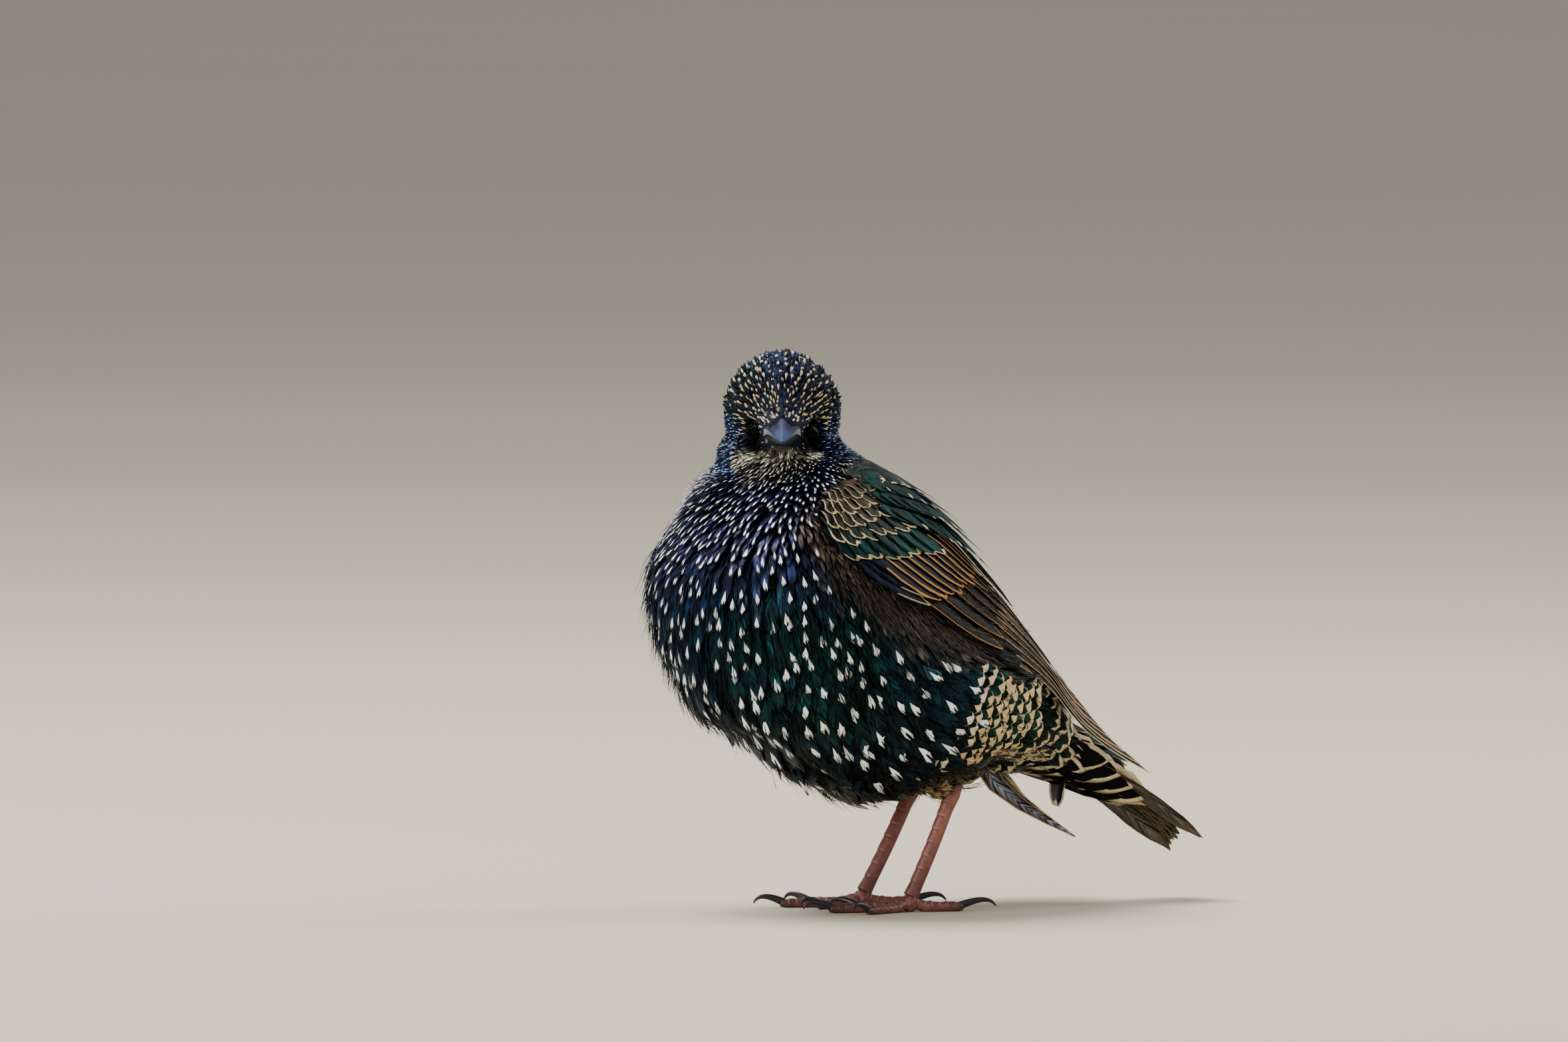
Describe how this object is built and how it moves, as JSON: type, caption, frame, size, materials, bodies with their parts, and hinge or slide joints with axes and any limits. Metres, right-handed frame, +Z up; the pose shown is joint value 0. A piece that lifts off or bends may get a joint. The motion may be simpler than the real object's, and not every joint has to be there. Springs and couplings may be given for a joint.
{
  "type": "starling",
  "caption": "Common starling in spotted winter plumage, life size, standing fluffed up with folded wings, its head turned to its left.",
  "frame": {"origin": "middle of the bird's box, on the ground between and a little behind the feet", "axes": "+Z up, -Y the way the breast faces, +X to the bird's left"},
  "size_m": [0.0798, 0.1528, 0.1451],
  "materials": {
    "plumage": "glossy dark body feathers with pale tips",
    "flight_feathers": "brown flight feathers with buff edges",
    "bill": "smooth dark horn",
    "eye": "wet and glossy",
    "leg_skin": "scaled skin, slightly shiny",
    "claw": "dark horn"
  },
  "bodies": {
    "root": {"torso": "plumage", "neck": "plumage", "head": "plumage", "bill_upper": "bill", "bill_lower": "bill", "eye_left": "eye", "eye_right": "eye", "thigh_left": "plumage", "shank_left": "leg_skin", "foot_left": "leg_skin", "toe_middle_left": "leg_skin", "claw_middle_left": "claw", "toe_inner_left": "leg_skin", "claw_inner_left": "claw", "toe_outer_left": "leg_skin", "claw_outer_left": "claw", "toe_hind_left": "leg_skin", "claw_hind_left": "claw", "thigh_right": "plumage", "shank_right": "leg_skin", "foot_right": "leg_skin", "toe_middle_right": "leg_skin", "claw_middle_right": "claw", "toe_inner_right": "leg_skin", "claw_inner_right": "claw", "toe_outer_right": "leg_skin", "claw_outer_right": "claw", "toe_hind_right": "leg_skin", "claw_hind_right": "claw", "wing_left": "flight_feathers", "wing_right": "flight_feathers", "tail": "flight_feathers"}
  },
  "joints": []
}
